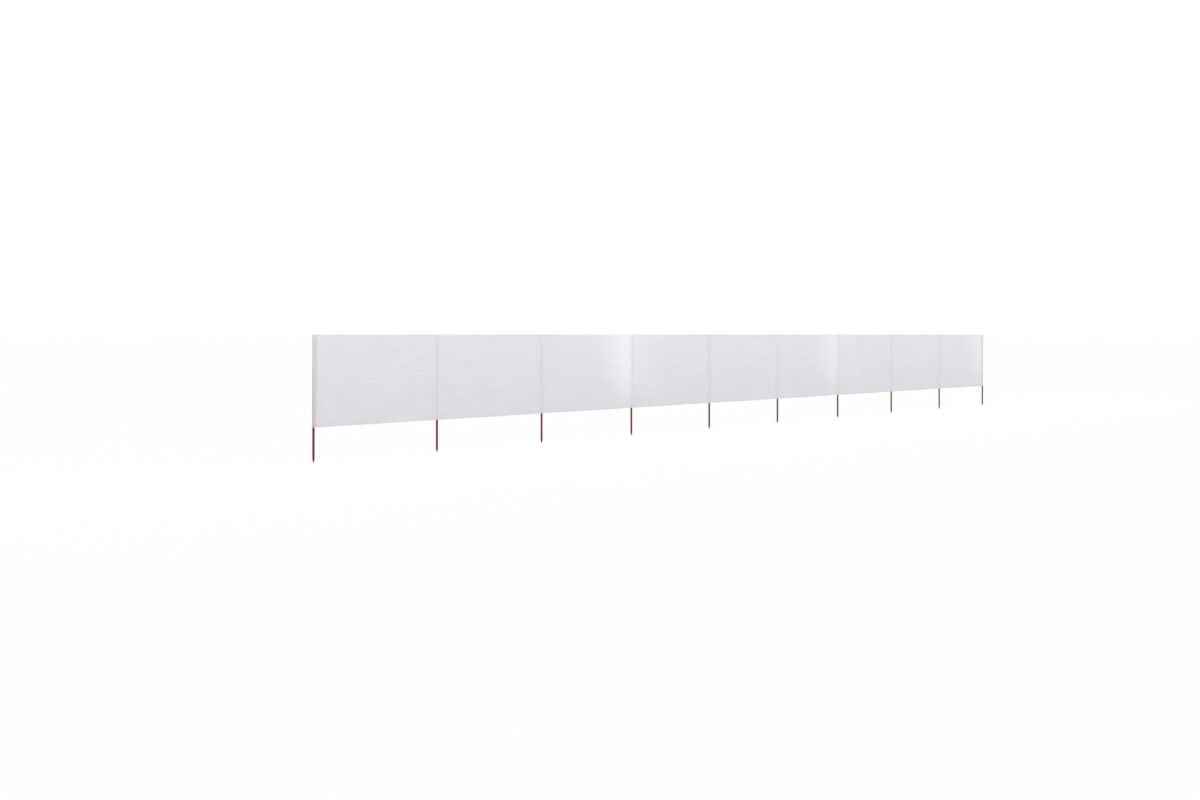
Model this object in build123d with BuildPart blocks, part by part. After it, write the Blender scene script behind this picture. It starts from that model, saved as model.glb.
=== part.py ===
from build123d import *
import os

# Beach windbreak: nine cloth panels in a straight row between ten round wooden poles.
# Each pole stands in a sewn sleeve that is closed at its top, so that the cloth hangs on the pole ends,
# and its bare pointed leg goes into the ground below the cloth.
# The origin is the middle of the first pole's flat tip. +X runs along the row, -Y is the front, +Z is up.
# All lengths are in millimetres.

# Overall sizes
overall_length = 12000.0
overall_height = 1100.0
cloth_height = 800.0
bay_count = 9

# Cloth
cloth_thickness = 0.5
hem_layers = 3
hem_depth = 20.0
hem_fold_share = 0.8

# Poles
pole_diameter = 20.0
pole_top_chamfer = 1.5
tip_length = 30.0
tip_diameter = 8.0

# Sleeves
pocket_clearance = 0.3
pocket_reach = 30.0
seam_width = 18.0
mouth_hem_depth = 20.0

# Worked out from the sizes above
hem_line = overall_height - cloth_height
hem_thickness = hem_layers * cloth_thickness
pole_radius = pole_diameter / 2
pole_length = overall_height - cloth_thickness
pocket_radius = pole_radius + pocket_clearance
sleeve_radius = pocket_radius + cloth_thickness
mouth_radius = sleeve_radius + cloth_thickness
seam_gap = cloth_thickness / 2
strip_reach = pocket_reach + seam_width
pole_pitch = (overall_length - 2 * mouth_radius) / bay_count


def save(piece, name):
    """Labels a finished piece and writes it to its own file."""
    piece.part.label = name
    export_step(piece.part, f"parts/{name}.step")


def pocket_outline(radius, half_gap, is_end):
    """Draws the plan of one face of a sleeve: taut round the pole, then flat against the panel in each seam.

    An end sleeve is one strip folded round its pole, with a seam on its +X side alone.
    """
    corner = Vector(pocket_reach, half_gap)
    with BuildLine() as outline:
        pole_round = CenterArc((0, 0), radius, 0, 180, mode=Mode.PRIVATE)
        taut = ConstrainedLines(pole_round, corner, selector=lambda lines: lines.sort_by(Axis.Y)[-1])
        touch = Vector(taut.vertices().sort_by(Axis.X)[0])
        TangentArc(touch, (-radius, 0) if is_end else (0, radius), tangent=touch - corner)
        Line(corner, (strip_reach, half_gap))
        if not is_end:
            mirror(about=Plane.YZ)
        mirror(about=Plane.XZ)
        Line((strip_reach, half_gap), (strip_reach, -half_gap))
        if not is_end:
            Line((-strip_reach, half_gap), (-strip_reach, -half_gap))
    return outline.edges()


def make_pole(number, axis_x):
    """A turned wooden pole with a broken top edge and a blunt point."""
    with BuildPart() as pole:
        with BuildSketch(Plane.XZ.shift_origin((axis_x, 0, 0))):
            with BuildLine():
                Polyline(
                    (0, 0),
                    (tip_diameter / 2, 0),
                    (pole_radius, tip_length),
                    (pole_radius, pole_length - pole_top_chamfer),
                    (pole_radius - pole_top_chamfer, pole_length),
                    (0, pole_length),
                    close=True,
                )
            make_face()
        revolve(axis=Axis((axis_x, 0, 0), (0, 0, 1)))
    save(pole, f"pole_{number:02d}")


def make_sleeve(number, axis_x, is_end, is_turned):
    """The sewn pocket round a pole: cloth strips that close on the panel edges, a shut top and a hemmed mouth."""
    seat = Plane(origin=(axis_x, 0, hem_line), x_dir=(-1 if is_turned else 1, 0, 0))
    with BuildPart() as sleeve:
        with BuildSketch(seat):
            make_face(pocket_outline(sleeve_radius, seam_gap + cloth_thickness, is_end))
            make_face(pocket_outline(pocket_radius, seam_gap, is_end), mode=Mode.SUBTRACT)
        extrude(amount=cloth_height)
        with BuildSketch(seat.offset(cloth_height - cloth_thickness)):
            make_face(pocket_outline(pocket_radius, seam_gap, is_end))
            Rectangle(2 * pocket_reach, 2 * pocket_radius, mode=Mode.INTERSECT)
        extrude(amount=cloth_thickness)
        with BuildSketch(seat):
            make_face(pocket_outline(mouth_radius, seam_gap + 2 * cloth_thickness, is_end))
            make_face(pocket_outline(sleeve_radius, seam_gap + cloth_thickness, is_end), mode=Mode.SUBTRACT)
        extrude(amount=mouth_hem_depth)
    save(sleeve, f"sleeve_{number:02d}")


def make_panel(number, axis_x):
    """One bay of cloth: a single layer whose side edges lie in the sleeve seams, hemmed along its top and foot."""
    with BuildPart() as panel:
        with BuildSketch(Plane.YZ.offset(axis_x + pocket_reach)):
            with Locations((0, hem_line + cloth_height / 2)):
                Rectangle(cloth_thickness, cloth_height)
        extrude(amount=pole_pitch - 2 * pocket_reach)
        with BuildSketch(Plane.YZ.offset(axis_x + strip_reach)):
            with Locations((0, hem_line + hem_depth / 2), (0, overall_height - hem_depth / 2)):
                Rectangle(hem_thickness, hem_depth)
        extrude(amount=pole_pitch - 2 * strip_reach)
        hem_edges = panel.edges().filter_by(Axis.X).filter_by(lambda edge: edge.length > 2 * strip_reach)
        folds = hem_edges.group_by(Axis.Z)
        fillet(folds[0] + folds[-1], radius=hem_fold_share * cloth_thickness)
    save(panel, f"panel_{number:02d}")


os.makedirs("parts", exist_ok=True)

for index in range(bay_count + 1):
    axis_x = index * pole_pitch
    is_first = index == 0
    is_last = index == bay_count
    make_pole(index + 1, axis_x)
    make_sleeve(index + 1, axis_x, is_first or is_last, is_last)
    if not is_last:
        make_panel(index + 1, axis_x)
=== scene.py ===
import math
from functools import partial

import bmesh
import bpy
from mathutils import Matrix, Vector, noise


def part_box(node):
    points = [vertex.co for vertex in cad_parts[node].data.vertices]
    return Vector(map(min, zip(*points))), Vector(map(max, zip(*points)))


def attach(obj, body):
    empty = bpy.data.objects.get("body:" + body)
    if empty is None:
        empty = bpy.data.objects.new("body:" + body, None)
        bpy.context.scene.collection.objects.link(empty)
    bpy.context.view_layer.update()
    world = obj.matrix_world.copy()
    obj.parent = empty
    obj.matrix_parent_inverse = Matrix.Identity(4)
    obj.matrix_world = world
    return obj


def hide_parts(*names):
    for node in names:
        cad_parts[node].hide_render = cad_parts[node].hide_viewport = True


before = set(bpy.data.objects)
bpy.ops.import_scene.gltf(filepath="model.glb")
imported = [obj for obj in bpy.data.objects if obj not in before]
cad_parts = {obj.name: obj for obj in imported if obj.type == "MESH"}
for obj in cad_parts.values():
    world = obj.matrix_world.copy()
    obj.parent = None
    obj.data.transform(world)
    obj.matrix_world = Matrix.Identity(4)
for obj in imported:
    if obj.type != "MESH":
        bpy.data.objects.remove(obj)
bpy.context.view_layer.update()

bl_info = {
    "name": "Beach windbreak",
    "version": (1, 0, 0),
    "blender": (4, 5, 0),
    "location": "3D View > Sidebar > Windbreak",
    "description": "Dresses the windbreak in sewn cloth and stained wooden poles, and sets its stage",
    "category": "Object",
}

POLES, SLEEVES, PANELS = [
    sorted(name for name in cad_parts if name.startswith(kind))
    for kind in ("pole_", "sleeve_", "panel_")
]
POLE_BOXES, SLEEVE_BOXES, PANEL_BOXES = [
    [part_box(name) for name in names] for names in (POLES, SLEEVES, PANELS)
]
POLE_AXES = [(low.x + high.x) / 2 for low, high in POLE_BOXES]
POLE_RADIUS = (POLE_BOXES[0][1].x - POLE_BOXES[0][0].x) / 2
CLOTH_FOOT, CLOTH_TOP = PANEL_BOXES[0][0].z, PANEL_BOXES[0][1].z
# Lengths that differ by less than this are the same
TINY = 1e-6


# Settings

color_setting = partial(bpy.props.FloatVectorProperty, subtype="COLOR", min=0, max=1)
length_setting = partial(bpy.props.FloatProperty, unit="LENGTH", precision=5)
share_setting = partial(bpy.props.FloatProperty, subtype="FACTOR", precision=4)


class WindbreakCloth(bpy.types.PropertyGroup):
    """Sizes and colours of the cloth, its hems and its thread."""

    color: color_setting(
        name="Cloth", description="Colour of the woven cloth", default=(0.789, 0.788, 0.823),
    )
    # Painted shade: the pole's shadow seen through the thin cloth, and the pocket's shade beside it
    pole_shadow: color_setting(
        name="Pole behind cloth", description="Colour of the cloth where a pole lies behind it",
        default=(0.562, 0.479, 0.55),
    )
    # Painted shade: the cloth darker, and a little pinker, towards its foot
    foot_shade: color_setting(
        name="Soil", description="Tint that sand and handling leave along the foot of the cloth",
        default=(0.983, 0.972, 0.975),
    )
    # Painted highlight: the colour of a lighter zone of cloth before every third pole, and behind it
    painted_highlight: color_setting(
        name="Faded cloth", description="Colour of the cloth where the sun has bleached it",
        default=(0.885, 0.875, 0.905),
    )
    thread_color: color_setting(
        name="Thread", description="Colour of the sewing thread", default=(0.74, 0.745, 0.775),
    )
    thickness: length_setting(
        name="Thickness", description="Thickness of one layer of cloth", min=0.0001, default=0.0005,
    )
    hem_depth: length_setting(
        name="Hem depth", description="Depth of the turned hems of panels and sleeve mouths",
        min=0.005, default=0.02,
    )
    pocket_reach: length_setting(
        name="Pocket reach", description="Distance from a pole's axis to the inner end of its seam",
        min=0.015, default=PANEL_BOXES[0][0].x - POLE_AXES[0],
    )
    strip_reach: length_setting(
        name="Strip reach", description="Distance from a pole's axis to the edge of its sleeve",
        min=0.02, default=SLEEVE_BOXES[0][1].x - POLE_AXES[0],
    )
    clearance: length_setting(
        name="Pocket clearance", description="Room between a pole and the taut cloth round it",
        min=0, default=0.0003,
    )
    slack: share_setting(
        name="Slack", description="Share by which a panel's cloth is longer than its bay",
        min=0, max=0.02, default=0.001,
    )
    sway: length_setting(
        name="Sway", description="How far the hanging cloth may leave the plane of the poles",
        min=0.001, default=0.006,
    )
    billow: length_setting(
        name="Billow", description="How far the wind fills every third bay", min=0, default=0.009,
    )
    corner_fold: length_setting(
        name="Corner fold",
        description="Height of the fold across the lower corner of the first bay of three",
        min=0, default=0.0105,
    )
    drag_fold: length_setting(
        name="Drag fold", description="Height of the soft fold across the first two bays of three",
        min=0, default=0.0055,
    )
    weave_pitch: length_setting(
        name="Weave pitch", description="Distance from thread to thread in the weave",
        min=0.0002, default=0.0008,
    )
    stitch_pitch: length_setting(
        name="Stitch pitch", description="Distance from stitch to stitch in a seam",
        min=0.002, default=0.005,
    )
    seam_inset: length_setting(
        name="Seam inset", description="Distance from a row of stitches to the edge beside it",
        min=0.001, default=0.003,
    )
    thread_width: length_setting(
        name="Thread width", description="Width of the sewing thread", min=0.0002, default=0.0006,
    )


class WindbreakPoles(bpy.types.PropertyGroup):
    """Sizes and colours of the wooden poles."""

    stain: color_setting(
        name="Stain", description="Colour of the stained wood", default=(0.275, 0.032, 0.029),
    )
    stain_dark: color_setting(
        name="Dark grain", description="Colour of the stain in the pores and dark rings",
        default=(0.138, 0.013, 0.0115),
    )
    bare_wood: color_setting(
        name="Worn wood", description="Colour of the wood where the ground has worn the stain",
        default=(0.30, 0.145, 0.085),
    )
    tip_length: length_setting(
        name="Point length", description="Length of the point at the foot", min=0.005, default=0.03,
    )
    tip_width: length_setting(
        name="Point width", description="Width of the blunt end of the point", min=0.002, default=0.008,
    )
    top_chamfer: length_setting(
        name="Top chamfer", description="Width of the broken edge at the top", min=0.0005, default=0.0015,
    )
    edge_radius: length_setting(
        name="Edge radius", description="Rounding of the turned edges", min=0.0002, default=0.0006,
    )
    sides: bpy.props.IntProperty(
        name="Sides", description="Number of faces round a pole", min=12, max=96, default=40,
    )


class WindbreakStage(bpy.types.PropertyGroup):
    """The floor, the light and the camera."""

    floor_color: color_setting(
        name="Floor", description="Colour of the floor", default=(0.9, 0.9, 0.9),
    )
    floor_glow: share_setting(
        name="Floor whiteness", description="How much of the floor shows as plain white",
        min=0, max=1, default=0.96,
    )
    sky_strength: bpy.props.FloatProperty(
        name="Sky", description="Strength of the even light from all round", min=0, default=0.7,
    )
    key_strength: bpy.props.FloatProperty(
        name="Key", description="Strength of the broad light from the front", min=0, default=0.36,
    )
    fill_strength: bpy.props.FloatProperty(
        name="Fill", description="Strength of the broad light from the back", min=0, default=0.6,
    )
    softbox_power: bpy.props.FloatProperty(
        name="Softbox", description="Power of the long softbox over the front",
        unit="POWER", min=0, default=56.0,
    )
    camera_place: bpy.props.FloatVectorProperty(
        name="Camera", description="Where the camera stands",
        subtype="TRANSLATION", default=(-5.738, -9.131, 1.1),
    )
    camera_turn: bpy.props.FloatProperty(
        name="Turn", description="Angle between the row and the line of sight", subtype="ANGLE",
        default=math.radians(44.65),
    )
    lens: bpy.props.FloatProperty(
        name="Lens", description="Focal length", unit="CAMERA", min=5, default=36.64,
    )
    horizon_shift: share_setting(
        name="Horizon", description="Shift that sets the height of the horizon in the picture",
        min=-0.2, max=0.2, default=-0.0546,
    )


# Materials

WHITE = (1.0, 1.0, 1.0, 1.0)
# The scale at which a wave texture has one band in each unit of length
ONE_BAND = math.tau / 20
# The range that holds nearly all of a noise texture's values
NOISE_RANGE = (0.28, 0.72)
# How far below the top of the cloth its painted shade, darker towards the foot, ends
SHADE_FREE_TOP = 0.1
# Heights between which the ground has worn the poles' stain
WEAR_HEIGHTS = (0.004, 0.055)


def give(tree, node, inputs):
    """Fills a node's inputs: one that is given a socket is linked to it, and any other is set."""
    for key, value in inputs.items():
        if isinstance(value, bpy.types.NodeSocket):
            tree.links.new(value, node.inputs[key])
        else:
            node.inputs[key].default_value = value


def put(tree, kind, inputs=None, **values):
    """Adds a node to a tree, with its values and its inputs."""
    made = tree.nodes.new(kind)
    for name, value in values.items():
        setattr(made, name, value)
    give(tree, made, inputs or {})
    return made


def shade(color, amount=1.0):
    """A colour with its alpha, made lighter or darker."""
    return (*(min(1.0, channel * amount) for channel in color), 1.0)


def blend_colors(tree, factor, first, second, blend_type="MIX"):
    """Mixes two colours and returns the result's socket."""
    inputs = {0: factor, 6: first, 7: second}
    return put(tree, "ShaderNodeMix", inputs, data_type="RGBA", blend_type=blend_type).outputs[2]


def work_out(tree, operation, first, second):
    """Puts two values through a Math node."""
    return put(tree, "ShaderNodeMath", {0: first, 1: second}, operation=operation).outputs[0]


def tone(tree, color, mask, share, other, blend_type="MIX"):
    """Blends a colour with another by a share of a mask."""
    return blend_colors(tree, work_out(tree, "MULTIPLY", mask, share), color, other, blend_type)


def remap(tree, value, low, high, to_low=0.0, to_high=1.0):
    """Smoothly maps a range of values to another."""
    return put(
        tree, "ShaderNodeMapRange",
        {"Value": value, "From Min": low, "From Max": high, "To Min": to_low, "To Max": to_high},
        interpolation_type="SMOOTHSTEP",
    ).outputs["Result"]


def attribute(tree, name):
    """The sockets of one of the piece's own attributes."""
    return put(tree, "ShaderNodeAttribute", attribute_name=name).outputs


def ground_height(tree):
    """Height above the ground."""
    place = put(tree, "ShaderNodeTexCoord").outputs["Object"]
    return put(tree, "ShaderNodeSeparateXYZ", {0: place}).outputs["Z"]


def new_group(name, inputs, outputs):
    """Starts a shader node group with named sockets."""
    group = bpy.data.node_groups.new(name, "ShaderNodeTree")
    for label, kind, value in inputs:
        socket = group.interface.new_socket(label, in_out="INPUT", socket_type=kind)
        if value is not None:
            socket.default_value = value
    for label in outputs:
        group.interface.new_socket(label, in_out="OUTPUT", socket_type="NodeSocketFloat")
    return group, group.nodes.new("NodeGroupInput").outputs, group.nodes.new("NodeGroupOutput")


def plain_weave_group():
    """Over-and-under threads of a plain weave: their height, and the gaps between them."""
    found = bpy.data.node_groups.get("plain_weave")
    if found:
        return found
    group, given, result = new_group(
        "plain_weave",
        (("Place", "NodeSocketVector", None), ("Threads per metre", "NodeSocketFloat", 1250.0)),
        ("Height", "Gap"),
    )
    place = put(
        group, "ShaderNodeVectorMath", {0: given["Place"], "Scale": given["Threads per metre"]},
        operation="SCALE",
    ).outputs[0]
    warp, weft = [
        put(
            group, "ShaderNodeTexWave",
            {"Vector": place, "Scale": ONE_BAND, "Phase Offset": -math.pi / 2, "Distortion": 0.0},
            wave_type="BANDS", bands_direction=direction,
        ).outputs["Fac"]
        for direction in ("X", "Y")
    ]
    over = put(group, "ShaderNodeTexChecker", {"Vector": place, "Scale": 1.0}).outputs["Fac"]
    height = put(group, "ShaderNodeMix", {0: over, 2: warp, 3: weft}, data_type="FLOAT").outputs[0]
    gap = work_out(group, "SUBTRACT", 1.0, work_out(group, "MAXIMUM", warp, weft))
    give(group, result, {"Height": height, "Gap": gap})
    return group


def streaks_group():
    """Soft unevenness that runs longer one way than the other, as in slubby yarn or wood fibre."""
    found = bpy.data.node_groups.get("streaks")
    if found:
        return found
    group, given, result = new_group(
        "streaks",
        (
            ("Place", "NodeSocketVector", None),
            ("Stretch", "NodeSocketVector", (1.0, 1.0, 1.0)),
            ("Detail", "NodeSocketFloat", 4.0),
        ),
        ("Value",),
    )
    place = put(
        group, "ShaderNodeVectorMath", {0: given["Place"], 1: given["Stretch"]}, operation="MULTIPLY",
    ).outputs[0]
    uneven = put(
        group, "ShaderNodeTexNoise",
        {"Vector": place, "Scale": 1.0, "Detail": given["Detail"], "Roughness": 0.55},
    ).outputs["Fac"]
    give(group, result, {"Value": remap(group, uneven, *NOISE_RANGE)})
    return group


def streaks(tree, place, per_metre, detail=4.0):
    """Places the streaks group, with so many streaks in a metre along each axis, and returns its value."""
    return put(
        tree, "ShaderNodeGroup", node_tree=streaks_group(),
        inputs={"Place": place, "Stretch": per_metre, "Detail": detail},
    ).outputs["Value"]


def bump(tree, height, strength, distance, **under):
    """The normals of a surface that a height raises, over the Normal under it where one is given."""
    inputs = {"Height": height, "Strength": strength, "Distance": distance, **under}
    return put(tree, "ShaderNodeBump", inputs).outputs["Normal"]


def new_material(name):
    """An empty material with its shader."""
    material = bpy.data.materials.new(name)
    material.use_nodes = True
    return material, material.node_tree, material.node_tree.nodes["Principled BSDF"]


def cloth_material(settings):
    """Matt woven cloth: plain weave, slubs along the weft, soft creases, and painted shade in the thread gaps
    and towards the foot.

    The attribute pole_shade holds the painted shade of a pole behind the cloth, and painted_highlight a
    painted highlight.
    """
    found = bpy.data.materials.get("woven_cloth")
    if found:
        return found
    material, tree, shader = new_material("woven_cloth")
    place = put(tree, "ShaderNodeUVMap", uv_map="cloth_uv").outputs["UV"]
    weave = put(
        tree, "ShaderNodeGroup", node_tree=plain_weave_group(),
        inputs={"Place": place, "Threads per metre": 1 / settings.weave_pitch},
    ).outputs
    slubs = streaks(tree, place, per_metre=(4.0, 420.0, 1.0))
    bands = streaks(tree, place, per_metre=(1.6, 24.0, 1.0), detail=3.0)
    clouds = streaks(tree, place, per_metre=(3.5, 5.0, 1.0), detail=2.0)
    creases = streaks(tree, place, per_metre=(26.0, 38.0, 1.0), detail=5.0)
    # Painted shade, darker towards the foot of the cloth
    foot_shade_mask = remap(tree, ground_height(tree), CLOTH_FOOT, CLOTH_TOP - SHADE_FREE_TOP, 1.0, 0.0)
    uneven = remap(tree, bands, 0.0, 1.0, 1.0, 0.85)
    # Painted highlight, broken up by the bands
    highlight_mask = work_out(tree, "MULTIPLY", attribute(tree, "painted_highlight")["Fac"], uneven)
    color = blend_colors(tree, slubs, shade(settings.color, 0.985), shade(settings.color, 1.015))
    color = tone(tree, color, bands, 0.7, shade((0.96, 0.962, 0.968)), "MULTIPLY")
    color = tone(tree, color, clouds, 0.5, shade((0.975, 0.972, 0.985)), "MULTIPLY")
    # Painted shade in the gaps between the threads
    color = tone(tree, color, weave["Gap"], 0.35, shade((0.72, 0.72, 0.75)), "MULTIPLY")
    color = blend_colors(tree, foot_shade_mask, color, shade(settings.foot_shade), "MULTIPLY")
    color = blend_colors(tree, highlight_mask, color, shade(settings.painted_highlight))
    # Painted shade of the poles behind the cloth and of their pockets
    color = blend_colors(tree, attribute(tree, "pole_shade")["Fac"], color, shade(settings.pole_shadow))
    crumple = bump(tree, creases, strength=0.25, distance=0.0012)
    give(tree, shader, {
        "Base Color": color,
        "Roughness": remap(tree, slubs, 0.0, 1.0, 0.86, 0.94),
        "Normal": bump(tree, weave["Height"], strength=0.3, distance=0.0002, Normal=crumple),
        "Specular IOR Level": 0.25,
        "Sheen Weight": 0.08,
        "Sheen Roughness": 0.5,
    })
    return material


def thread_material(settings):
    """Twisted sewing thread, a little glossier than the cloth."""
    found = bpy.data.materials.get("sewing_thread")
    if found:
        return found
    material, tree, shader = new_material("sewing_thread")
    place = put(tree, "ShaderNodeTexCoord").outputs["Object"]
    plies = streaks(tree, place, per_metre=(2600.0, 2600.0, 2600.0), detail=2.0)
    dark, light = shade(settings.thread_color, 0.9), shade(settings.thread_color, 1.05)
    give(tree, shader, {
        "Base Color": blend_colors(tree, plies, dark, light),
        "Roughness": remap(tree, plies, 0.0, 1.0, 0.5, 0.62),
        "Normal": bump(tree, plies, strength=0.3, distance=0.0001),
    })
    return material


def wood_material(settings):
    """Stained dowel: rings cut by the round of the pole, fibres, pores, and stain worn at its point."""
    found = bpy.data.materials.get("stained_wood")
    if found:
        return found
    material, tree, shader = new_material("stained_wood")
    grain = attribute(tree, "grain")["Vector"]
    leaning = put(
        tree, "ShaderNodeMapping",
        {"Vector": grain, "Location": (0.021, 0.013, 0.0), "Rotation": (0.012, 0.02, 0.0)},
    )
    rings = put(
        tree, "ShaderNodeTexWave",
        {
            "Vector": leaning.outputs["Vector"], "Scale": 90.0,
            "Distortion": 2.2, "Detail": 2.0, "Detail Scale": 1.4,
        },
        wave_type="RINGS", rings_direction="Z", wave_profile="SAW",
    ).outputs["Fac"]
    fibres = streaks(tree, grain, per_metre=(900.0, 900.0, 14.0), detail=5.0)
    pores = remap(tree, streaks(tree, grain, per_metre=(2100.0, 2100.0, 60.0), detail=2.0), 0.62, 0.95)
    patches = streaks(tree, grain, per_metre=(30.0, 30.0, 6.0), detail=2.0)
    scratches = streaks(tree, grain, per_metre=(420.0, 420.0, 28.0), detail=5.0)
    scuffs = remap(tree, scratches, 0.35, 0.9, 0.0, 0.6)
    worn = work_out(tree, "MULTIPLY", remap(tree, ground_height(tree), *WEAR_HEIGHTS, 1.0, 0.0), scuffs)
    color = blend_colors(tree, rings, shade(settings.stain), shade(settings.stain_dark, 1.35))
    color = tone(tree, color, fibres, 0.55, shade(settings.stain_dark))
    color = tone(tree, color, patches, 0.3, shade(settings.stain, 1.3))
    color = tone(tree, color, pores, 0.7, shade(settings.stain_dark, 0.5))
    color = blend_colors(tree, worn, color, shade(settings.bare_wood))
    relief = work_out(tree, "SUBTRACT", fibres, pores)
    polish = remap(tree, fibres, 0.0, 1.0, 0.36, 0.52)
    give(tree, shader, {
        "Base Color": color,
        "Roughness": work_out(tree, "ADD", polish, work_out(tree, "MULTIPLY", worn, 0.4)),
        "Normal": bump(tree, relief, strength=0.35, distance=0.0003),
        "Specular IOR Level": 0.1,
    })
    return material


def seen_directly(tree):
    """One where a camera, mirror or glass ray arrives, and zero for the light that bounces."""
    path = put(tree, "ShaderNodeLightPath").outputs
    bent = work_out(tree, "MAXIMUM", path["Is Glossy Ray"], path["Is Transmission Ray"])
    return work_out(tree, "MAXIMUM", path["Is Camera Ray"], bent)


def floor_material(settings):
    """Pale matt floor that shows as white and keeps a soft shadow."""
    material, tree, shader = new_material("pale_floor")
    matt = {"Base Color": shade(settings.floor_color), "Roughness": 1.0, "Specular IOR Level": 0.0}
    give(tree, shader, matt)
    glow = put(tree, "ShaderNodeEmission", {"Color": WHITE, "Strength": 1.0})
    white = work_out(tree, "MULTIPLY", seen_directly(tree), settings.floor_glow)
    mixed = put(tree, "ShaderNodeMixShader", {0: white, 1: shader.outputs[0], 2: glow.outputs[0]})
    give(tree, tree.nodes["Material Output"], {"Surface": mixed.outputs[0]})
    return material


# Pieces

# Share of the stitch pitch that the thread covers, and share of its width that a thread stands off the cloth
STITCH_SHARE = 0.86
THREAD_REST_SHARE = 0.25
# A bar tack: its stitches, the step from one to the next, their length, and their slant in degrees
TACK_STITCHES = 14
TACK_STEP = 0.0009
TACK_LENGTH = 0.0042
TACK_SLANT = 17
# Shares of the edge radius by which a pole's rounded edges and its shoulder are cut
EDGE_CUT_SHARE = 0.3
SHOULDER_CUT_SHARE = 0.2
# How the wood differs from pole to pole: the shift of its heart, that shift's turn, and the step along it
HEART_SHIFT = 0.003
HEART_TURN = 2.1
GRAIN_STEP = 1.7


def clamp(share):
    """Keeps a share between 0 and 1."""
    return min(1.0, max(0.0, share))


def ease(value, low, high):
    """Smoothly rises from 0 at low to 1 at high."""
    share = clamp((value - low) / (high - low))
    return share * share * (3 - 2 * share)


def ripple(*place):
    """Smooth unevenness between -1 and 1."""
    return noise.noise(Vector(place))


def only(kind, items):
    """The items of one kind in what a mesh operator returns."""
    return [item for item in items if isinstance(item, kind)]


def extrude_row(bm, edges):
    """Extrudes a row of edges in place, and returns the new edges and vertices."""
    made = bmesh.ops.extrude_edge_only(bm, edges=edges)["geom"]
    return only(bmesh.types.BMEdge, made), only(bmesh.types.BMVert, made)


def as_mesh(bm, name):
    """Puts a finished bmesh in a mesh of its own."""
    mesh = bpy.data.meshes.new(name)
    bm.to_mesh(mesh)
    bm.free()
    return mesh


def add_object(name, data):
    """Adds an object to the scene, at the origin."""
    made = bpy.data.objects.new(name, data)
    bpy.context.scene.collection.objects.link(made)
    return made


def shaped_mesh(piece, depsgraph):
    """A mesh of what a piece's modifiers make of it."""
    return bpy.data.meshes.new_from_object(
        piece.evaluated_get(depsgraph), preserve_all_data_layers=True, depsgraph=depsgraph,
    )


def add_piece(name, bm, material, node=None, thickness=0.0, sharp=60.0):
    """Makes an object of a finished mesh, gives it its thickness, and seats it on the frame."""
    mesh = as_mesh(bm, name)
    mesh.materials.append(material)
    piece = add_object(name, mesh)
    if thickness:
        wall = piece.modifiers.new("cloth_thickness", "SOLIDIFY")
        wall.thickness, wall.offset = thickness, 0.0
        piece.data = shaped_mesh(piece, bpy.context.evaluated_depsgraph_get())
        piece.modifiers.clear()
        bpy.data.meshes.remove(mesh)
        piece.data.name = name
    piece.data.shade_smooth()
    piece.data.set_sharp_from_angle(angle=math.radians(sharp))
    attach(piece, "root")
    if node:
        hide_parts(node)
    return piece


def add_stitch(bm, settings, place, turn, length):
    """Adds one stitch of thread, along X and then turned about Y."""
    half = settings.thread_width / 2
    lie = Matrix.Translation(place) @ Matrix.Rotation(turn, 4, "Y")
    lie = lie @ Matrix.Diagonal((length / 2, half, half, 1.0)) @ Matrix.Rotation(math.pi / 2, 4, "Y")
    bmesh.ops.create_uvsphere(bm, u_segments=4, v_segments=3, radius=1.0, matrix=lie)


def thread_row(settings, length, name):
    """A straight row of stitches along X: one is made, and then the row is doubled until it is full."""
    pitch = settings.stitch_pitch
    count = int(length / pitch)
    bm = bmesh.new()
    add_stitch(bm, settings, (0.5 * pitch, 0.0, 0.0), 0.0, STITCH_SHARE * pitch)
    sewn = 1
    while sewn < count:
        reach = min(sewn, count - sewn) * pitch
        verts = [vert for vert in bm.verts if vert.co.x < reach]
        faces = [face for face in bm.faces if all(vert.co.x < reach for vert in face.verts)]
        made = bmesh.ops.duplicate(bm, geom=verts + faces)["geom"]
        bmesh.ops.translate(bm, vec=(sewn * pitch, 0, 0), verts=only(bmesh.types.BMVert, made))
        sewn = min(2 * sewn, count)
    return as_mesh(bm, name)


def bar_tack(settings):
    """A short dense zigzag along X that locks the end of a seam."""
    bm = bmesh.new()
    for step in range(TACK_STITCHES):
        slant = -TACK_SLANT if step % 2 else TACK_SLANT
        add_stitch(bm, settings, (TACK_STEP * step, 0.0, 0.0), math.radians(90 + slant), TACK_LENGTH)
    return as_mesh(bm, "bar_tack")


def lay_thread(bm, thread, place):
    """Lays a straight piece of sewing on the cloth: place gives each point by its x, y and z in the row."""
    start = len(bm.verts)
    bm.from_mesh(thread)
    bm.verts.ensure_lookup_table()
    for vert in bm.verts[start:]:
        vert.co = place(*vert.co)


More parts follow.
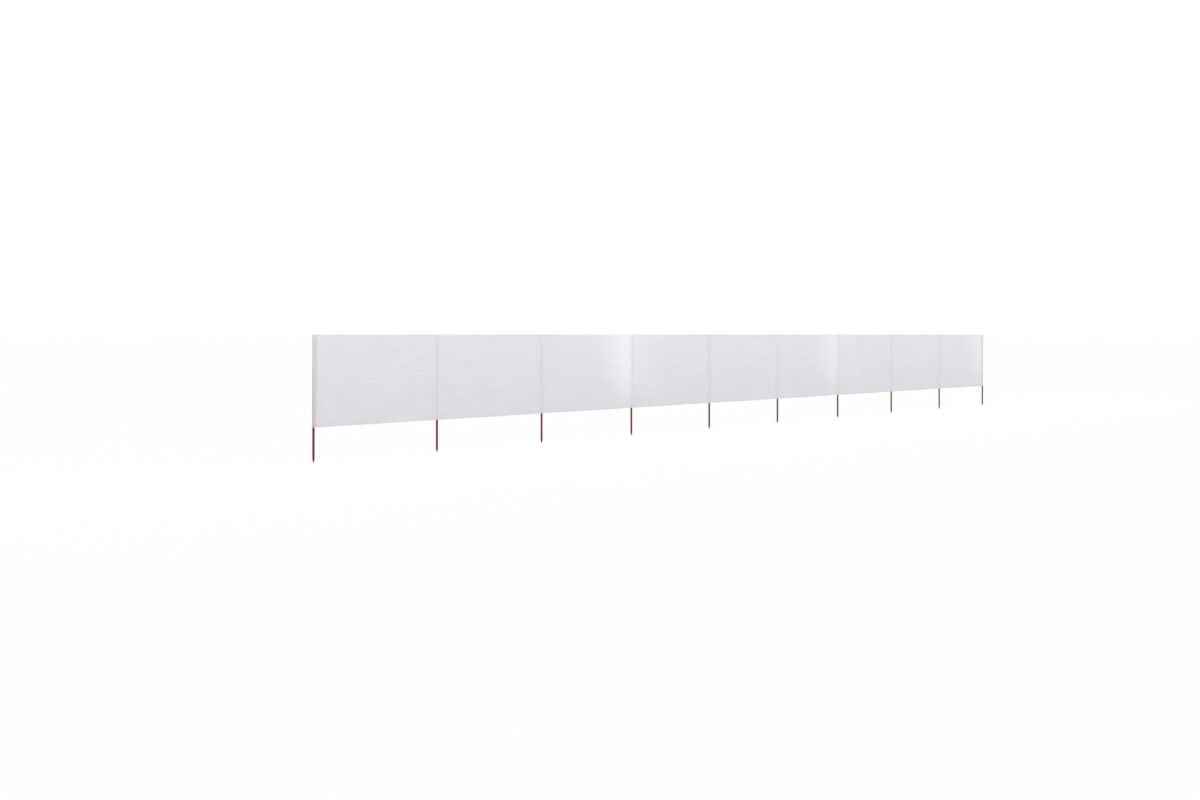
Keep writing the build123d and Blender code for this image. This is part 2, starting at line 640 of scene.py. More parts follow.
def lathe_pole(settings, index, low, high):
    """Turns a pole: half its outline spun about its own axis."""
    axis_x = POLE_AXES[index]
    rim, tip, chamfer = settings.edge_radius, settings.tip_width / 2, settings.top_chamfer
    cut, shoulder_cut = EDGE_CUT_SHARE * rim, SHOULDER_CUT_SHARE * rim
    slope = (POLE_RADIUS - tip) / settings.tip_length
    shoulder, brow = low.z + settings.tip_length, high.z - chamfer
    outline = (
        (0.0, low.z),
        (tip - rim, low.z),
        (tip + cut * slope, low.z + cut),
        (tip + slope * rim, low.z + rim),
        (POLE_RADIUS - slope * rim, shoulder - rim),
        (POLE_RADIUS - shoulder_cut * slope, shoulder + shoulder_cut),
        (POLE_RADIUS, shoulder + rim),
        (POLE_RADIUS, brow - rim),
        (POLE_RADIUS - cut, brow),
        (POLE_RADIUS - chamfer, high.z - cut),
        (POLE_RADIUS - chamfer - rim, high.z),
        (0.0, high.z),
    )
    bm = bmesh.new()
    grain = bm.verts.layers.float_vector.new("grain")
    verts = [bm.verts.new((axis_x + across, 0.0, up)) for across, up in outline]
    edges = [bm.edges.new(pair) for pair in zip(verts, verts[1:])]
    bmesh.ops.spin(
        bm, geom=verts + edges, cent=(axis_x, 0, 0), axis=(0, 0, 1), angle=math.tau, steps=settings.sides,
        use_merge=True,
    )
    bmesh.ops.remove_doubles(bm, verts=bm.verts, dist=TINY)
    bmesh.ops.recalc_face_normals(bm, faces=bm.faces)
    heart = Vector((axis_x - HEART_SHIFT * math.sin(HEART_TURN * index), 0.0, -GRAIN_STEP * index))
    for vert in bm.verts:
        vert[grain] = vert.co - heart
    return bm


# Panels

CLOTH_COLUMNS, CLOTH_ROWS = 69, 34
# How thick a hem's fold is, in layers of cloth, and how much of the cut length its turns take up
FOLD_LAYERS = 1.3
# A vertex this near to a line of the flat cloth lies on it
ON_LINE = 0.001
# The hanging: its frames, its share of gravity, and the fabric
HANG_FRAMES = 36
HANG_GRAVITY = 0.035
FABRIC = {
    "quality": 6,
    "mass": 0.3,
    "air_damping": 2.0,
    "tension_stiffness": 60.0,
    "compression_stiffness": 60.0,
    "shear_stiffness": 18.0,
    "bending_stiffness": 2.0,
    "tension_damping": 15.0,
    "compression_damping": 15.0,
    "shear_damping": 15.0,
    "bending_damping": 0.5,
}
# The ripple that the flat cloth starts with: its height, its waves in a metre, and its step from bay to bay
START_RIPPLE = 0.0009
START_WAVES = 5.0
START_STEP = 3.7
# How far past the seam the sewing reaches, and over what distance the start ripple and the folds then grow
SEAM_MARGIN = 0.0005
RIPPLE_RUN = 0.1
FREE_RUN = 0.04
# How strong the painted highlight is on the bays before every third pole, and on those behind it
HIGHLIGHTS_BEFORE = {2: 0.95, 5: 0.6, 8: 0.6}
HIGHLIGHTS_BEHIND = {3: 0.32, 6: 0.12}
# Where the painted highlight of a bay starts, as a share of the width at its top, and how much later at its
# foot
HIGHLIGHT_START_SHARE, HIGHLIGHT_FOOT_SHARE = 0.42, 0.35
# Where the soft fold of a bay starts and ends, as shares of the bay's width and height
FOLD_SHARES = (((0.3, 0.4), (0.95, 0.8)), ((0.05, 0.74), (0.65, 0.6)))
FOLD_WIDTH = 0.032
# The share of a bay's width at which the wind fills it most
BILLOW_SHARE = 0.74
# The fold across a corner: how far along the foot and up the seam it lies, and its width as a share of that
CORNER_RUN, CORNER_RISE = 0.18, 0.24
CORNER_WIDTH_SHARE = 0.6
# The gathers along the hems: their height, how far they reach, their waves in a metre and their step by bays
GATHER_HEIGHT = 0.0005
GATHER_REACH = 0.03
GATHER_WAVES, GATHER_RISE = 55.0, 2.0
GATHER_STEP = 5.1


def seam_width(settings):
    """Width of the seam between a sleeve and a panel."""
    return settings.strip_reach - settings.pocket_reach


class HungCloth:
    """The shape of one hung panel, looked up by where a point lay in the flat cloth."""

    def __init__(self, mesh):
        flat = [item.vector for item in mesh.attributes["flat_place"].data]
        self.left, self.right = min(place.x for place in flat), max(place.x for place in flat)
        self.foot, self.top = min(place.z for place in flat), max(place.z for place in flat)
        self.columns, self.rows = 2 * CLOTH_COLUMNS, 2 * CLOTH_ROWS
        self.grid = [[None] * (self.columns + 1) for _ in range(self.rows + 1)]
        for vert, place in zip(mesh.vertices, flat):
            column, row = self.cell(place.x, place.z)
            self.grid[round(row)][round(column)] = vert.co.copy()

    def cell(self, x, z):
        """Column and row of a place in the flat cloth."""
        return (
            (x - self.left) / (self.right - self.left) * self.columns,
            (z - self.foot) / (self.top - self.foot) * self.rows,
        )

    def point(self, x, z, lift):
        """The point of the cloth at a place, off its front by lift."""
        across, up = self.cell(x, z)
        column = min(self.columns - 1, max(0, math.floor(across)))
        row = min(self.rows - 1, max(0, math.floor(up)))
        across, up = across - column, up - row
        below, above = self.grid[row][column:column + 2], self.grid[row + 1][column:column + 2]
        low, high = below[0].lerp(below[1], across), above[0].lerp(above[1], across)
        left, right = below[0].lerp(above[0], up), below[1].lerp(above[1], up)
        out = (right - left).cross(high - low).normalized()
        return low.lerp(high, up) + out * lift


def cut_panel(settings, name, index):
    """A flat panel of cloth, front towards -Y, from fold to fold of its hems, held by its two seams."""
    low, high = PANEL_BOXES[index]
    fold = FOLD_LAYERS * settings.thickness
    seam = seam_width(settings) + SEAM_MARGIN
    bm = bmesh.new()
    place = bm.verts.layers.float_vector.new("flat_place")
    bmesh.ops.create_grid(bm, x_segments=CLOTH_COLUMNS, y_segments=CLOTH_ROWS, size=0.5)
    bmesh.ops.scale(bm, vec=(high.x - low.x, high.z - low.z - 2 * fold, 1), verts=bm.verts)
    bmesh.ops.rotate(bm, matrix=Matrix.Rotation(math.pi / 2, 3, "X"), verts=bm.verts)
    bmesh.ops.translate(bm, vec=((low.x + high.x) / 2, 0, (low.z + high.z) / 2), verts=bm.verts)
    held = []
    for vert in bm.verts:
        vert[place] = vert.co
        to_seam = min(vert.co.x - low.x, high.x - vert.co.x) - seam
        if to_seam < 0:
            held.append(vert.index)
        wave = ripple(vert.co.x * START_WAVES, index * START_STEP, vert.co.z * START_WAVES)
        vert.co.y = START_RIPPLE * clamp(to_seam / RIPPLE_RUN) * wave
    sheet = add_object(name, as_mesh(bm, name))
    sheet.vertex_groups.new(name="held").add(held, 1.0, "REPLACE")
    return sheet


def make_slack(settings, sheet):
    """Makes a sheet a cloth that hangs from its two seams, a little longer than its bay."""
    cloth = sheet.modifiers.new("hang", "CLOTH")
    for name, value in FABRIC.items():
        setattr(cloth.settings, name, value)
    cloth.settings.vertex_group_mass = "held"
    cloth.settings.shrink_min = -settings.slack
    cloth.settings.effector_weights.gravity = HANG_GRAVITY
    cloth.collision_settings.use_collision = False
    cloth.point_cache.frame_start, cloth.point_cache.frame_end = 1, HANG_FRAMES


def hang_panels(context, settings, sheets):
    """Lets the sheets hang slack between their seams until they rest, and returns their meshes."""
    scene = context.scene
    for sheet in sheets:
        make_slack(settings, sheet)
    scene.frame_start, scene.frame_end = 1, HANG_FRAMES
    for step in range(1, HANG_FRAMES + 1):
        scene.frame_set(step)
    for sheet in sheets:
        smooth = sheet.modifiers.new("smooth", "SUBSURF")
        smooth.levels = smooth.render_levels = 1
        smooth.boundary_smooth = "PRESERVE_CORNERS"
    depsgraph = context.evaluated_depsgraph_get()
    hung = [shaped_mesh(sheet, depsgraph) for sheet in sheets]
    for sheet in sheets:
        flat = sheet.data
        bpy.data.objects.remove(sheet)
        bpy.data.meshes.remove(flat)
    scene.frame_set(1)
    return hung


def bay_shares(index, x, z):
    """How far across and up its bay a place lies, as shares of the bay's width and height."""
    low, high = PANEL_BOXES[index]
    return (x - low.x) / (high.x - low.x), (z - low.z) / (high.z - low.z)


def highlight_share(index, x, z):
    """How strong a bay's painted highlight is at a place: upwards and towards every third pole, most before
    it.
    """
    across, up = bay_shares(index, x, z)
    if index in HIGHLIGHTS_BEFORE:
        start = HIGHLIGHT_START_SHARE + HIGHLIGHT_FOOT_SHARE * (1 - up) ** 2
        return HIGHLIGHTS_BEFORE[index] * ease(up, -0.1, 0.55) * ease(across, start, 0.97) ** 1.5
    if index in HIGHLIGHTS_BEHIND:
        return HIGHLIGHTS_BEHIND[index] * ease(up, 0.0, 0.5) * (1 - ease(across, 0.0, 0.5))
    return 0.0


def soft_fold(index, x, z):
    """The share of its height that a bay's soft fold has at a place. A bay full of wind has none."""
    if index % 3 == 2:
        return 0.0
    low, high = PANEL_BOXES[index]
    start, end = [
        Vector((low.x + (high.x - low.x) * across, low.z + (high.z - low.z) * up))
        for across, up in FOLD_SHARES[index % 3]
    ]
    run, here = end - start, Vector((x, z)) - start
    along = clamp(here.dot(run) / run.length_squared)
    off = run.cross(here) / run.length
    return math.sin(math.pi * along) ** 2 * math.exp(-((off / FOLD_WIDTH) ** 2))


def fill_panel(settings, mesh, index):
    """Caps how far the cloth sways, then adds the wind, the painted highlight, the folds and the pull of the
    sewing.

    Every third bay is filled with wind, and the others have a soft fold. The first bay of each three
    also has a fold across its lower corner. All hems are gathered a little.
    """
    low, high = PANEL_BOXES[index]
    seam = seam_width(settings)
    # The painted highlight at each point of the bay
    highlights = mesh.attributes.new("painted_highlight", "FLOAT", "POINT").data
    places = mesh.attributes["flat_place"].data
    for vert in mesh.vertices:
        flat = places[vert.index].vector
        highlights[vert.index].value = highlight_share(index, flat.x, flat.z)
        sway = settings.sway * math.tanh(vert.co.y / settings.sway)
        sway -= settings.drag_fold * soft_fold(index, flat.x, flat.z)
        if index % 3 == 2:
            share = bay_shares(index, flat.x, flat.z)[0]
            full = clamp(min(share / BILLOW_SHARE, (1 - share) / (1 - BILLOW_SHARE)))
            sway -= settings.billow * math.sin(full * math.pi / 2) ** 1.5
        if index % 3 == 0:
            across = (flat.x - low.x - seam) / CORNER_RUN + (flat.z - low.z) / CORNER_RISE
            sway -= settings.corner_fold * max(0.0, 1 - abs(across - 1) / CORNER_WIDTH_SHARE) ** 2
        to_hem = min(high.z - flat.z, flat.z - low.z)
        gather = GATHER_HEIGHT * math.exp(-to_hem / GATHER_REACH)
        gather *= ripple(flat.x * GATHER_WAVES, index * GATHER_STEP, flat.z * GATHER_RISE)
        free = clamp((min(flat.x - low.x, high.x - flat.x) - seam) / FREE_RUN)
        vert.co.y = (sway + gather) * free
    mesh.update()


def turn_hems(settings, bm, cloth):
    """Turns the top and the foot of a panel twice to the back, between its two sleeves."""
    place = bm.verts.layers.float_vector["flat_place"]
    layer, depth = settings.thickness, settings.hem_depth
    start = cloth.left + seam_width(settings) - ON_LINE
    end = cloth.right - seam_width(settings) + ON_LINE
    # How far behind the panel and how far in from its edge the hem runs, turn by turn
    turns = (
        (0.6 * layer, -0.8 * layer),
        (1.4 * layer, -0.8 * layer),
        (2.0 * layer, 0.0),
        (2.0 * layer, 0.5 * depth),
        (2.0 * layer, depth),
        (1.5 * layer, depth + 0.4 * layer),
        (layer, depth),
        (layer, 0.2 * depth),
    )
    for edge_z, inward in ((cloth.top, -1.0), (cloth.foot, 1.0)):
        on_edge = {
            vert for vert in bm.verts
            if abs(vert[place].z - edge_z) < ON_LINE and start < vert[place].x < end
        }
        row = [edge for edge in bm.edges if edge.is_boundary and on_edge.issuperset(edge.verts)]
        run, last = 0.0, (0.0, 0.0)
        for back, inset in turns:
            run += math.dist((back, inset), last)
            last = (back, inset)
            row, verts = extrude_row(bm, row)
            for vert in verts:
                x = vert[place].x
                vert.co = cloth.point(x, edge_z + inward * inset, -back)
                vert[place] = (x, 0.0, edge_z - inward * run)


def map_panel(bm):
    """Lays the cloth's own map over a panel: its place in the flat cloth, in metres."""
    place = bm.verts.layers.float_vector["flat_place"]
    chart = bm.loops.layers.uv.new("cloth_uv")
    for face in bm.faces:
        for loop in face.loops:
            loop[chart].uv = loop.vert[place].xz


def stitch_panel(settings, cloth):
    """The rows of stitches that hold a panel's hems, on its front and its back."""
    start, end = cloth.left + seam_width(settings), cloth.right - seam_width(settings)
    inset = settings.hem_depth - settings.seam_inset
    rest = THREAD_REST_SHARE * settings.thread_width
    row = thread_row(settings, end - start, "hem_row")
    bm = bmesh.new()
    for z in (cloth.top - inset, cloth.foot + inset):
        for lift in (settings.thickness / 2 + rest, -2.5 * settings.thickness - rest):
            lay_thread(bm, row, lambda ahead, out, up: cloth.point(start + ahead, z + up, lift - out))
    bpy.data.meshes.remove(row)
    bmesh.ops.recalc_face_normals(bm, faces=bm.faces)
    return bm


# Sleeves

SLEEVE_ROWS = 100
# Steps round the pole of a middle sleeve and of an end sleeve
MIDDLE_STEPS, END_STEPS = 6, 14
# The rounding of a sleeve's shut top, and how far that top sinks beside the pole
CAP_ROUNDING = 0.0012
CAP_SINK = 0.001
# How far below the top the cloth is still drawn tight, and over what distance it then comes loose
CAP_TIGHT = 0.002
CAP_RUN = 0.02
# Heights of the puckers: on the pole, beside it, drawn by its seam, between the seam's rows and at its edge
ROUND_PUCKER = 0.00012
SLACK_PUCKER = 0.0011
DRAG_PUCKER = 0.0007
SEAM_PUCKER = 0.0006
EDGE_PUCKER = 0.0005
# Where a pole's painted shade starts below the top of the cloth, on each of three sleeves, and over what
# distance
SHADE_STARTS = (0.004, 0.018, 0.085)
SHADE_RUN = 0.02
# How strong a pole's painted shade is through a middle sleeve, how far beside it, and how dark the painted
# shade along the sleeve's edge is
MIDDLE_SHADE = 0.31
MIDDLE_REACH = 0.014
EDGE_SHADE = 0.18
# How strong a pole's painted shade is through an end sleeve: on it, more beside it where the pocket's shade
# is painted, and how far beside it
END_SHADE, END_SHADE_MORE = 0.2, 0.3
END_REACH = 0.06
# Steps in the cloth's map from the front to the back of a sleeve, and from sleeve to sleeve
BACK_STEP = 0.3
SLEEVE_STEP = 0.7
# Where a bar tack starts, above the mouth and before the inner row of stitches
TACK_HEIGHT = 0.003
TACK_INSET = 0.001


class SleevePlan:
    """The plan of a sleeve's front about its pole's axis: flat in each seam, taut to the pole and round it.

    A middle sleeve runs from seam to seam. An end sleeve has a seam on its +X side alone and ends
    at the outermost line of its pole, where its back begins.
    """

    def __init__(self, settings, is_end):
        self.is_end = is_end
        self.radius = POLE_RADIUS + settings.clearance + settings.thickness / 2
        self.gap, self.reach, self.edge = settings.thickness, settings.pocket_reach, settings.strip_reach
        far = math.hypot(self.gap, self.reach)
        self.turn = math.atan2(self.gap, self.reach) + math.acos(self.radius / far)
        self.middle = math.pi if is_end else math.pi / 2
        self.touch = Vector((math.cos(self.turn), -math.sin(self.turn), 0)) * self.radius
        self.corner = Vector((self.reach, -self.gap, 0))
        self.arc = self.radius * (self.middle - self.turn)
        self.taut = (self.corner - self.touch).length
        self.half = self.arc + self.taut + self.edge - self.reach
        self.inner_row = self.arc + self.taut + settings.seam_inset
        self.outer_row = self.half - settings.seam_inset

    def draw(self, bm):
        """Draws the outline: the round by a spin, then each straight run by extrusion from its ends."""
        start = bm.verts.new(self.touch)
        sweep = self.turn - math.pi if self.is_end else 2 * self.turn - math.pi
        last = bmesh.ops.spin(
            bm, geom=[start], cent=(0, 0, 0), axis=(0, 0, 1), angle=sweep,
            steps=END_STEPS if self.is_end else MIDDLE_STEPS,
        )["geom_last"][0]
        seam_end = Vector((self.edge, -self.gap, 0))
        for vert, side in ((start, 1.0), (last, -1.0))[:1 if self.is_end else 2]:
            for run in (0.25, 0.5, 0.75, 1.0):
                vert = self.draw_to(bm, vert, self.touch.lerp(self.corner, run), side)
            for run in (1 / 3, 2 / 3, 1.0):
                vert = self.draw_to(bm, vert, self.corner.lerp(seam_end, run), side)

    def draw_to(self, bm, vert, point, side):
        """Extrudes the outline's end to a point, on the +X or the -X side."""
        made = bmesh.ops.extrude_vert_indiv(bm, verts=[vert])["verts"][0]
        made.co = (point.x * side, point.y, 0)
        return made

    def lie(self, point):
        """How far along the strip a point of the outline lies from the middle, and the way out there."""
        side = -1.0 if point.x < 0 and not self.is_end else 1.0
        x = point.x * side
        if x > self.reach - TINY:
            return side * (self.arc + self.taut + x - self.reach), Vector((0, -1, 0))
        if x > self.touch.x + TINY:
            out = self.touch.normalized()
            run = (x - self.touch.x) / (self.reach - self.touch.x)
            return side * (self.arc + self.taut * run), Vector((out.x * side, out.y, 0))
        return side * self.radius * (self.middle - math.atan2(abs(point.y), x)), point.normalized()

    def at(self, along, lift):
        """The point so far along the strip, off the cloth by lift."""
        side, run = math.copysign(1.0, along), abs(along)
        if run > self.arc + self.taut:
            point, out = Vector((self.reach + run - self.arc - self.taut, -self.gap, 0)), Vector((0, -1, 0))
        elif run > self.arc:
            point, out = self.touch.lerp(self.corner, (run - self.arc) / self.taut), self.touch.normalized()
        else:
            angle = self.middle - run / self.radius
            out = Vector((math.cos(angle), -math.sin(angle), 0))
            point = out * self.radius
        return Matrix.Diagonal((side, 1.0, 1.0)) @ (point + out * lift)


def pucker(plan, along, z, seed):
    """How far the cloth of a sleeve stands off its plan: slack beside the pole, gathered along its seams."""
    run = abs(along)
    seed += 31.0 if along < 0 else 0.0
    if run <= plan.arc:
        return ROUND_PUCKER * (1 + ripple(run * 60.0, seed, z * 11.0))
    if run <= plan.arc + plan.taut:
        share = (run - plan.arc) / plan.taut
        bow = math.sin(math.pi * share)
        slack = -SLACK_PUCKER * bow * (0.7 + 0.6 * ripple(seed, 3.0, z * 6.0))
        return slack + DRAG_PUCKER * share * bow * ripple(run * 40.0, seed, z * 42.0)
    if run <= plan.inner_row:
        return 0.0
    if run <= plan.outer_row:
        share = (run - plan.inner_row) / (plan.outer_row - plan.inner_row)
        return SEAM_PUCKER * math.sin(math.pi * share) * (0.5 + 0.5 * ripple(seed, 7.0, z * 48.0))
    share = (run - plan.outer_row) / (plan.half - plan.outer_row)
    return EDGE_PUCKER * share * (0.5 + 0.5 * ripple(seed, 11.0, z * 60.0))


def pole_shading(plan, index, along, z):
    """Painted shade of the pole behind its thin sleeve, by how close the cloth lies to it."""
    run = abs(along)
    below = clamp((CLOTH_TOP - SHADE_STARTS[index % 3] - z) / SHADE_RUN)
    if plan.is_end:
        down = (CLOTH_TOP - z) / (CLOTH_TOP - CLOTH_FOOT)
        even = (END_SHADE + END_SHADE_MORE * ease(run, 0.012, 0.028)) * (1 - ease(run, 0.042, END_REACH))
        near = max(0.0, 1.0 - run / END_REACH)
        return (even + (near - even) * down) * below
    near = max(0.0, 1.0 - max(0.0, run - plan.arc) / MIDDLE_REACH)
    # Painted shade: a dark line along the +X edge of a middle sleeve
    worn = EDGE_SHADE if along > plan.half - TINY else 0.0
    return max(MIDDLE_SHADE * near * below, worn)


def shut_top(bm, plan, brim, base, climb, top):
    """Turns the brim of a sleeve's front in over its pole, up to the middle."""
    row = [
        edge for edge in bm.edges
        if all(vert in brim and abs(vert.co.x) < plan.reach + TINY for vert in edge.verts)
    ]
    # How far in, in roundings, and how far up each step goes. The last ends at the middle
    for inset, rise in ((0.3, 0.7), (1.0, 1.0), (100.0, 1.0)):
        row, verts = extrude_row(bm, row)
        for vert in verts:
            deep = -vert[base].y
            curve = min(CAP_ROUNDING, deep)
            beside = max(0.0, abs(vert.co.x) - POLE_RADIUS) / (plan.reach - POLE_RADIUS)
            vert.co.y = -max(0.0, deep - inset * curve)
            vert.co.z = top - curve + rise * curve - CAP_SINK * math.sin(beside * math.pi) ** 2
            vert[climb] = top + deep + vert.co.y


def sew_sleeve(settings, plan, index):
    """One sleeve: its front strip, the shut top and the turned mouth, doubled to the back."""
    low, high = SLEEVE_BOXES[index]
    layer, depth = settings.thickness, settings.hem_depth
    top, foot = high.z - layer / 2, low.z + 0.9 * layer
    bm = bmesh.new()
    base = bm.verts.layers.float_vector.new("base")
    out = bm.verts.layers.float_vector.new("out")
    along = bm.verts.layers.float.new("along")
    climb = bm.verts.layers.float.new("climb")
    # Masks of painted light and shade: the pole's painted shade and the bays' painted highlight
    shows = bm.verts.layers.float.new("pole_shade")
    highlight_layer = bm.verts.layers.float.new("painted_highlight")
    plan.draw(bm)
    for vert in bm.verts:
        vert[along], vert[out] = plan.lie(vert.co)
        vert[base] = vert.co
        vert.co.z = foot
    mouth = bm.edges[:]
    for vert in extrude_row(bm, mouth)[1]:
        vert.co.z = top - CAP_ROUNDING
    posts = [edge for edge in bm.edges if abs(edge.verts[0].co.z - edge.verts[1].co.z) > depth]
    bmesh.ops.subdivide_edges(bm, edges=posts, cuts=SLEEVE_ROWS - 1, use_grid_fill=True)
    for vert in bm.verts:
        vert[climb] = vert.co.z
    brim = {vert for vert in bm.verts if vert.co.z > top - CAP_ROUNDING - TINY}
    for vert in brim:
        vert.co.z = top - min(CAP_ROUNDING, -vert.co.y)
    shut_top(bm, plan, brim, base, climb, top)
    # How far out, in layers, and how far up the mouth's hem runs, turn by turn
    turns = ((0.5, -0.4 * layer), (1.0, 0.0), (1.0, 0.5 * depth), (1.0, depth), (0.55, depth + 0.5 * layer))
    for lift, rise in turns:
        mouth, verts = extrude_row(bm, mouth)
        for vert in verts:
            vert.co = vert[base] + vert[out] * lift * layer + Vector((0, 0, foot + rise))
            vert[climb] = foot - rise
    bmesh.ops.mirror(bm, geom=bm.verts[:] + bm.edges[:] + bm.faces[:], axis="Y", merge_dist=TINY)
    bmesh.ops.remove_doubles(bm, verts=bm.verts, dist=TINY)

    for vert in bm.verts:
        is_back = vert.co.y > TINY
        way = vert[out].copy()
        if is_back:
            way.y = -way.y
        loose = 0.0 if abs(vert.co.y) < TINY else clamp((top - CAP_TIGHT - vert.co.z) / CAP_RUN)
        bay = min(index - (vert[along] < 0), len(PANELS) - 1)
        # The painted highlight of the bay beside the sleeve, faded out over the round of the pole
        bleached = highlight_share(bay, POLE_AXES[index], vert.co.z)
        vert[highlight_layer] = bleached * ease(abs(vert[along]), 0.4 * plan.arc, 1.2 * plan.arc)
        # Painted shade of the pole behind the cloth
        vert[shows] = pole_shading(plan, index, vert[along], vert.co.z)
        vert.co += way * pucker(plan, vert[along], vert.co.z, 2.0 * index + is_back) * loose
    chart = bm.loops.layers.uv.new("cloth_uv")
    for face in bm.faces:
        is_back = face.calc_center_median().y > 0
        for loop in face.loops:
            across = loop.vert[along]
            if is_back:
                across = -across if plan.is_end else across + BACK_STEP
            loop[chart].uv = (across + SLEEVE_STEP * index, loop.vert[climb])
    return bm


def stitch_sleeve(settings, plan, index):
    """The rows of stitches of a sleeve's seams and mouth, and the bar tacks at the ends of its seams."""
    low, high = SLEEVE_BOXES[index]
    layer = settings.thickness
    rest = THREAD_REST_SHARE * settings.thread_width
    start = 0.0 if plan.is_end else -plan.half
    mouth_z = low.z + settings.hem_depth - settings.seam_inset
    seam = thread_row(settings, high.z - low.z, "seam_row")
    mouth = thread_row(settings, plan.half - start, "mouth_row")
    tack = bar_tack(settings)

    def on_seam(along, lift, z):
        """A point of a seam's sewing. It rises where the mouth is doubled."""
        doubled = layer if z < low.z + settings.hem_depth else 0.0
        return plan.at(along, layer / 2 + doubled + lift) + Vector((0, 0, z))

    def on_mouth(along, lift, z):
        """A point of the mouth's sewing."""
        puckered = pucker(plan, along, z, 2.0 * index)
        return plan.at(along, 1.5 * layer + puckered + lift) + Vector((0, 0, z))

    bm = bmesh.new()
    for side in (1.0,) if plan.is_end else (1.0, -1.0):
        for line in (plan.inner_row, plan.outer_row):
            lay_thread(
                bm, seam, lambda up, out, across: on_seam(side * line + across, rest + out, low.z + up),
            )
        tack_at, tack_z = side * (plan.inner_row - TACK_INSET), low.z + TACK_HEIGHT
        lay_thread(bm, tack, lambda up, out, across: on_seam(tack_at + across, 2 * rest + out, tack_z + up))
    lay_thread(bm, mouth, lambda ahead, out, across: on_mouth(start + ahead, rest + out, mouth_z + across))
    for thread in (seam, mouth, tack):
        bpy.data.meshes.remove(thread)
    bmesh.ops.mirror(bm, geom=bm.verts[:] + bm.edges[:] + bm.faces[:], axis="Y", merge_dist=0.0)
    return bm


def set_on_axis(bm, index, is_turned):
    """Moves a sleeve's mesh from the origin to its pole, turned round for the last pole."""
    if is_turned:
        bmesh.ops.rotate(bm, cent=(0, 0, 0), matrix=Matrix.Rotation(math.pi, 3, "Z"), verts=bm.verts)
    bmesh.ops.translate(bm, vec=(POLE_AXES[index], 0, 0), verts=bm.verts)
    bmesh.ops.recalc_face_normals(bm, faces=bm.faces)
    return bm


# Operators


class WINDBREAK_OT_add_poles(bpy.types.Operator):
    """Turn the stained wooden poles"""

    bl_idname = "windbreak.add_poles"
    bl_label = "Add poles"
    bl_options = {"REGISTER", "UNDO"}

    def execute(self, context):
        settings = context.scene.windbreak_poles
        material = wood_material(settings)
        for index, node in enumerate(POLES):
            bm = lathe_pole(settings, index, *POLE_BOXES[index])
            add_piece(f"turned_{node}", bm, material, node, sharp=50.0)
        return {"FINISHED"}


class WINDBREAK_OT_add_panels(bpy.types.Operator):
    """Hang the cloth panels and hem them"""

    bl_idname = "windbreak.add_panels"
    bl_label = "Add panels"
    bl_options = {"REGISTER", "UNDO"}

    def execute(self, context):
        settings = context.scene.windbreak_cloth
        material, thread = cloth_material(settings), thread_material(settings)
        sheets = [cut_panel(settings, f"flat_{node}", index) for index, node in enumerate(PANELS)]
        for index, mesh in enumerate(hang_panels(context, settings, sheets)):
            node = PANELS[index]
            fill_panel(settings, mesh, index)
            cloth = HungCloth(mesh)
            bm = bmesh.new()
            bm.from_mesh(mesh)
            bpy.data.meshes.remove(mesh)
            turn_hems(settings, bm, cloth)
            map_panel(bm)
            panel = add_piece(f"hung_{node}", bm, material, node, settings.thickness)
            stitches = add_piece(f"hem_thread_{node}", stitch_panel(settings, cloth), thread)
        return {"FINISHED"}


class WINDBREAK_OT_add_sleeves(bpy.types.Operator):
    """Sew the sleeves round the poles"""

    bl_idname = "windbreak.add_sleeves"
    bl_label = "Add sleeves"
    bl_options = {"REGISTER", "UNDO"}

    def execute(self, context):
        settings = context.scene.windbreak_cloth
        material, thread = cloth_material(settings), thread_material(settings)
        for index, node in enumerate(SLEEVES):
            is_last = index == len(SLEEVES) - 1
            plan = SleevePlan(settings, is_end=index == 0 or is_last)
            bm = set_on_axis(sew_sleeve(settings, plan, index), index, is_last)
            sleeve = add_piece(f"sewn_{node}", bm, material, node, settings.thickness)
            bm = set_on_axis(stitch_sleeve(settings, plan, index), index, is_last)
            stitches = add_piece(f"seam_thread_{node}", bm, thread)
        return {"FINISHED"}


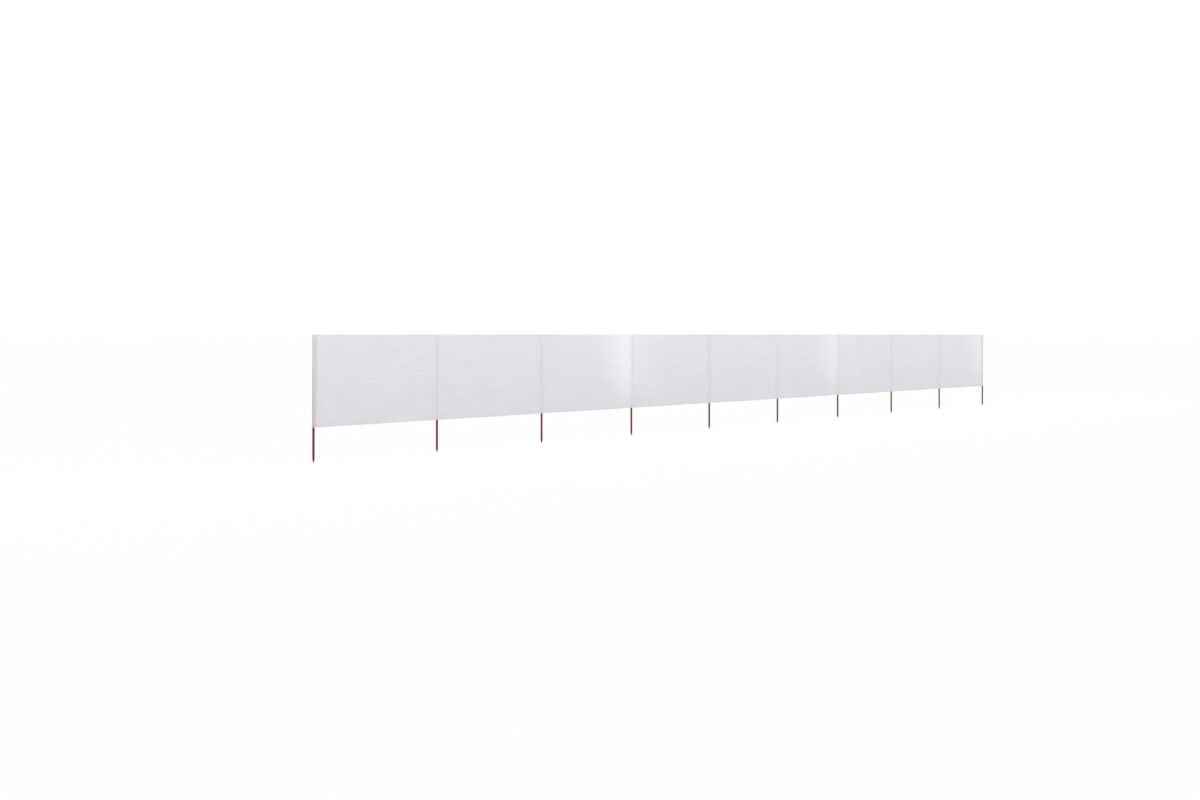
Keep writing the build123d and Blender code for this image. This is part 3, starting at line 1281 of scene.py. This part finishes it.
class WINDBREAK_OT_set_stage(bpy.types.Operator):
    """Lay the floor, hang the lights and set up the camera"""

    bl_idname = "windbreak.set_stage"
    bl_label = "Set stage"
    bl_options = {"REGISTER", "UNDO"}

    # The floor's half width, and how far it lies under the poles' points
    floor_reach, floor_drop = 400.0, 0.0005
    row_middle = (POLE_AXES[0] + POLE_AXES[-1]) / 2

    def execute(self, context):
        settings = context.scene.windbreak_stage
        context.scene.view_settings.view_transform = "Standard"
        self.lay_floor(settings)
        self.light_sky(context.scene, settings)
        middle = self.row_middle
        self.add_sun("front_key", settings.key_strength, spread=50, place=(middle, -6, 5), turn=(58, 0, 16))
        softbox = bpy.data.lights.new("long_softbox", "AREA")
        softbox.shape, softbox.size, softbox.size_y = "RECTANGLE", 20.0, 0.7
        softbox.energy = settings.softbox_power
        lamp = self.place(softbox, place=(middle, -1.5, 2.5), turn=(38, 0, 0))
        lamp.visible_camera = False
        self.add_sun("rear_fill", settings.fill_strength, spread=70, place=(middle, 6, 5), turn=(-50, 0, 0))
        camera = bpy.data.cameras.new("camera")
        camera.lens, camera.sensor_width, camera.shift_y = settings.lens, 36.0, settings.horizon_shift
        camera.clip_end = 1000.0
        turn = (90, 0, math.degrees(settings.camera_turn) - 90)
        context.scene.camera = self.place(camera, settings.camera_place, turn)
        return {"FINISHED"}

    def place(self, data, place, turn):
        """Adds a lamp or the camera to the scene, turned by so many degrees about X, Y and Z."""
        made = add_object(data.name, data)
        made.location, made.rotation_euler = place, [math.radians(angle) for angle in turn]
        return made

    def add_sun(self, name, strength, spread, place, turn):
        """Adds a broad lamp whose light comes from so many degrees of the sky."""
        sun = bpy.data.lights.new(name, "SUN")
        sun.energy, sun.angle = strength, math.radians(spread)
        self.place(sun, place, turn)

    def lay_floor(self, settings):
        """A wide pale floor under the points of the poles."""
        bm = bmesh.new()
        bmesh.ops.create_grid(bm, x_segments=1, y_segments=1, size=self.floor_reach)
        bmesh.ops.translate(bm, vec=(self.row_middle, 0.0, -self.floor_drop), verts=bm.verts)
        mesh = as_mesh(bm, "floor")
        mesh.materials.append(floor_material(settings))
        add_object("floor", mesh)

    def light_sky(self, scene, settings):
        """An even sky that shows as white."""
        world = bpy.data.worlds.new("even_sky")
        world.use_nodes = True
        tree = world.node_tree
        glow = tree.nodes["Background"]
        give(tree, glow, {"Color": WHITE, "Strength": settings.sky_strength})
        white = put(tree, "ShaderNodeBackground", {"Color": WHITE, "Strength": 1.0})
        mixed = put(
            tree, "ShaderNodeMixShader", {0: seen_directly(tree), 1: glow.outputs[0], 2: white.outputs[0]},
        )
        give(tree, tree.nodes["World Output"], {"Surface": mixed.outputs[0]})
        scene.world = world


class VIEW3D_PT_windbreak(bpy.types.Panel):
    """The windbreak's settings and the steps that make it"""

    bl_label = "Windbreak"
    bl_space_type = "VIEW_3D"
    bl_region_type = "UI"
    bl_category = "Windbreak"

    def draw(self, context):
        for kind, pointer in SETTINGS:
            box = self.layout.box()
            for name in kind.__annotations__:
                box.prop(getattr(context.scene, pointer), name)
        for step in STEPS:
            self.layout.operator(step.bl_idname)


SETTINGS = (
    (WindbreakCloth, "windbreak_cloth"),
    (WindbreakPoles, "windbreak_poles"),
    (WindbreakStage, "windbreak_stage"),
)
STEPS = (WINDBREAK_OT_add_poles, WINDBREAK_OT_add_panels, WINDBREAK_OT_add_sleeves, WINDBREAK_OT_set_stage)
CLASSES = (*(kind for kind, _ in SETTINGS), *STEPS, VIEW3D_PT_windbreak)


def register():
    for kind in CLASSES:
        bpy.utils.register_class(kind)
    for kind, pointer in SETTINGS:
        setattr(bpy.types.Scene, pointer, bpy.props.PointerProperty(type=kind))


def unregister():
    for _, pointer in SETTINGS:
        delattr(bpy.types.Scene, pointer)
    for kind in reversed(CLASSES):
        bpy.utils.unregister_class(kind)


def main():
    register()
    bpy.ops.windbreak.set_stage()
    bpy.ops.windbreak.add_poles()
    bpy.ops.windbreak.add_panels()
    bpy.ops.windbreak.add_sleeves()


if __name__ == "__main__":
    main()
